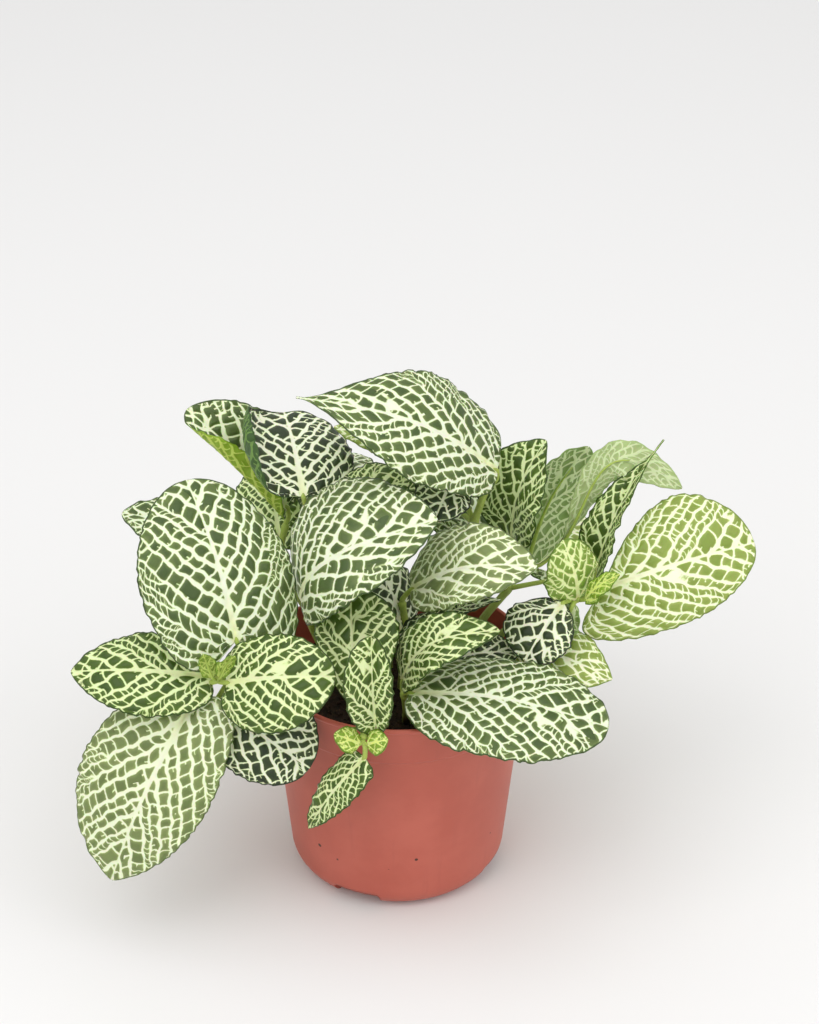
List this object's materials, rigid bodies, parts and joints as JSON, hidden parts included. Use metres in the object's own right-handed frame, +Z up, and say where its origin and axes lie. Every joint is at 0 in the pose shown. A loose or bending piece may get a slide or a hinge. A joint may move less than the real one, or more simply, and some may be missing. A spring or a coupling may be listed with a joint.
{
  "type": "potted nerve plant",
  "caption": "Leafy nerve plant with white-netted dark leaves on short trailing stems, growing in a round tapered nursery pot of thin plastic.",
  "frame": {"origin": "middle of the pot's underside, on the surface that the pot stands on", "axes": "+Z up along the pot's axis, -Y towards the front that the picture shows, +X to the right of that front"},
  "size_m": [0.2998, 0.1979, 0.2389],
  "materials": {
    "pot_plastic": "smooth satin terracotta-coloured plastic",
    "soil": "rough moist dark potting mix of peat and bark",
    "foliage": "softly shining dark green leaves netted with pale veins, on yellow-green hairy stems"
  },
  "bodies": {
    "root": {"pot": "pot_plastic", "soil": "soil", "shoot_left": "foliage", "shoot_front": "foliage", "shoot_front_right": "foliage", "shoot_centre_left": "foliage", "shoot_centre": "foliage", "shoot_right": "foliage", "shoot_right_back": "foliage", "shoot_top": "foliage", "shoot_back_left": "foliage", "shoot_far_left": "foliage", "shoot_back": "foliage", "shoot_back_right": "foliage"}
  },
  "joints": []
}
